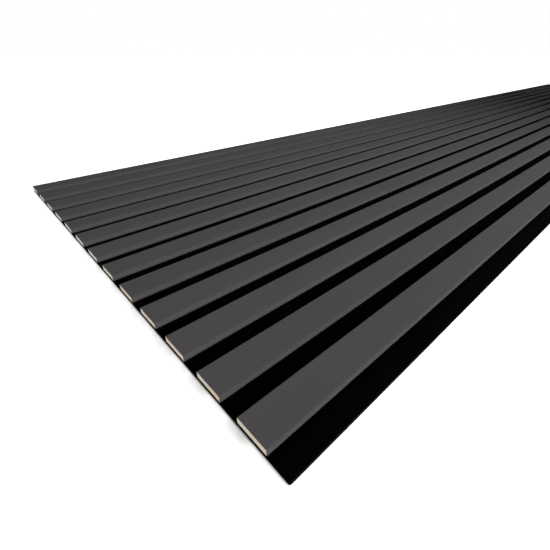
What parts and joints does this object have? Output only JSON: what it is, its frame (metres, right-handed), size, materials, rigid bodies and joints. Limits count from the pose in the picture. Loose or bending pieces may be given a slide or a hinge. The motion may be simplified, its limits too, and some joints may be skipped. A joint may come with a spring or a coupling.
{
  "type": "acoustic slat wall panel",
  "caption": "Long flat wall panel: narrow charcoal-wrapped fibreboard slats, evenly spaced on a black felt backing that is bare for one gap along one edge.",
  "frame": {"origin": "middle of the felt's flat back face", "axes": "+X along the slats, +Y across them away from the bare strip of felt, +Z out of the panel through the slats, away from the wall"},
  "size_m": [2.8, 0.585, 0.009],
  "materials": {
    "felt": "matte needled fibre",
    "fibreboard": "raw sawn medium-density fibreboard",
    "foil": "matte charcoal decor foil",
    "staple_wire": "galvanised fine wire"
  },
  "bodies": {
    "root": {"felt_backing": "felt", "slat_core_01": "fibreboard", "slat_core_02": "fibreboard", "slat_core_03": "fibreboard", "slat_core_04": "fibreboard", "slat_core_05": "fibreboard", "slat_core_06": "fibreboard", "slat_core_07": "fibreboard", "slat_core_08": "fibreboard", "slat_core_09": "fibreboard", "slat_core_10": "fibreboard", "slat_core_11": "fibreboard", "slat_core_12": "fibreboard", "slat_core_13": "fibreboard", "slat_foil_01": "foil", "slat_foil_02": "foil", "slat_foil_03": "foil", "slat_foil_04": "foil", "slat_foil_05": "foil", "slat_foil_06": "foil", "slat_foil_07": "foil", "slat_foil_08": "foil", "slat_foil_09": "foil", "slat_foil_10": "foil", "slat_foil_11": "foil", "slat_foil_12": "foil", "slat_foil_13": "foil", "staples": "staple_wire"}
  },
  "joints": []
}
